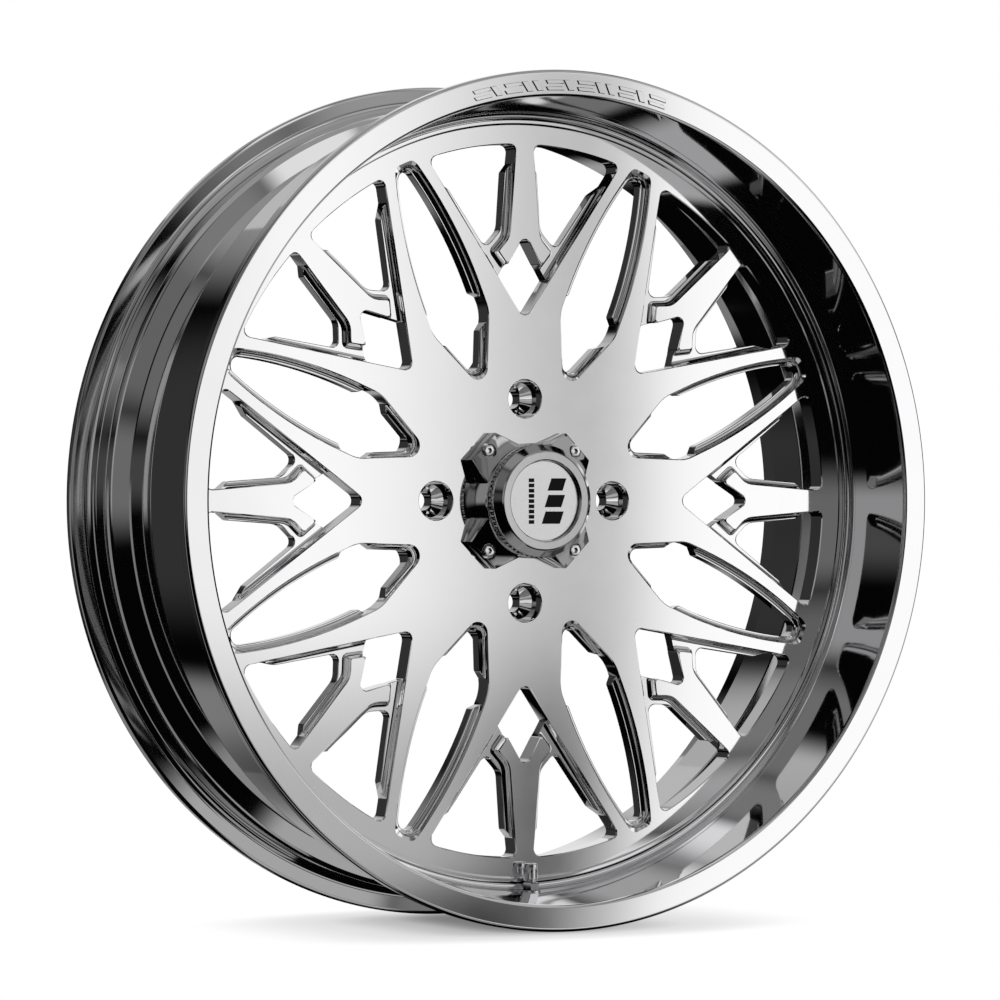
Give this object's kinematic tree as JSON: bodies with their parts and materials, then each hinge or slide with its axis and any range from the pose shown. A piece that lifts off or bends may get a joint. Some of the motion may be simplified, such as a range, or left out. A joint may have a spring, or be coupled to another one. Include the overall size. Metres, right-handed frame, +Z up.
{
  "type": "forged racing wheel rim",
  "caption": "Two-piece forged wheel rim: deep polished barrel, milled centre with slim V spokes, screwed centre cap and tyre valve.",
  "frame": {"origin": "middle of the rim's box, on the wheel axis; the hub mounting pad lies in the plane y = 0", "axes": "+Y along the wheel axis towards the vehicle, so the face looks along -Y; +Z up with the tyre valve at the bottom; +X to the right seen from the front"},
  "size_m": [0.649, 0.2044, 0.649],
  "materials": {
    "polished_aluminium": "mirror polished",
    "weld_bead": "as welded",
    "cap_chrome": "chromed",
    "badge_enamel": "brushed with a black enamel mark",
    "screw_steel": "bright",
    "valve_nickel": "nickel plated",
    "core_brass": "turned",
    "spring_steel": "drawn wire",
    "black_rubber": "moulded"
  },
  "bodies": {
    "rim": {"rim_barrel": "polished_aluminium", "wheel_centre": "polished_aluminium", "centre_weld": "weld_bead", "valve_stem": "valve_nickel", "valve_grommet": "black_rubber", "valve_washer": "valve_nickel", "valve_nut": "valve_nickel", "valve_core_body": "core_brass", "valve_core_spring": "spring_steel"},
    "centre_cap": {"cap_body": "cap_chrome", "cap_o_ring": "black_rubber", "cap_retaining_ring": "cap_chrome", "cap_bezel": "cap_chrome", "cap_badge": "badge_enamel", "cap_screw_1": "screw_steel", "cap_screw_2": "screw_steel", "cap_screw_3": "screw_steel", "cap_screw_4": "screw_steel"},
    "valve_pin": {"valve_core_pin": "core_brass", "valve_core_seal": "black_rubber"},
    "valve_dust_cap": {"valve_cap": "valve_nickel", "valve_cap_seal": "black_rubber"}
  },
  "joints": [
    {"name": "cap_off", "type": "slide", "parent": "rim", "child": "centre_cap", "axis": [0, -1, 0], "range_m": [0, 0.06]},
    {"name": "valve_cap_off", "type": "slide", "parent": "rim", "child": "valve_dust_cap", "axis": [0, 0, 1], "range_m": [0, 0.02]},
    {"name": "valve_pin_press", "type": "slide", "parent": "rim", "child": "valve_pin", "axis": [0, 0, -1], "range_m": [0, 0.0015], "stiffness_N_per_m": 400, "springref_m": -0.002, "deforming": ["valve_core_spring"]}
  ]
}
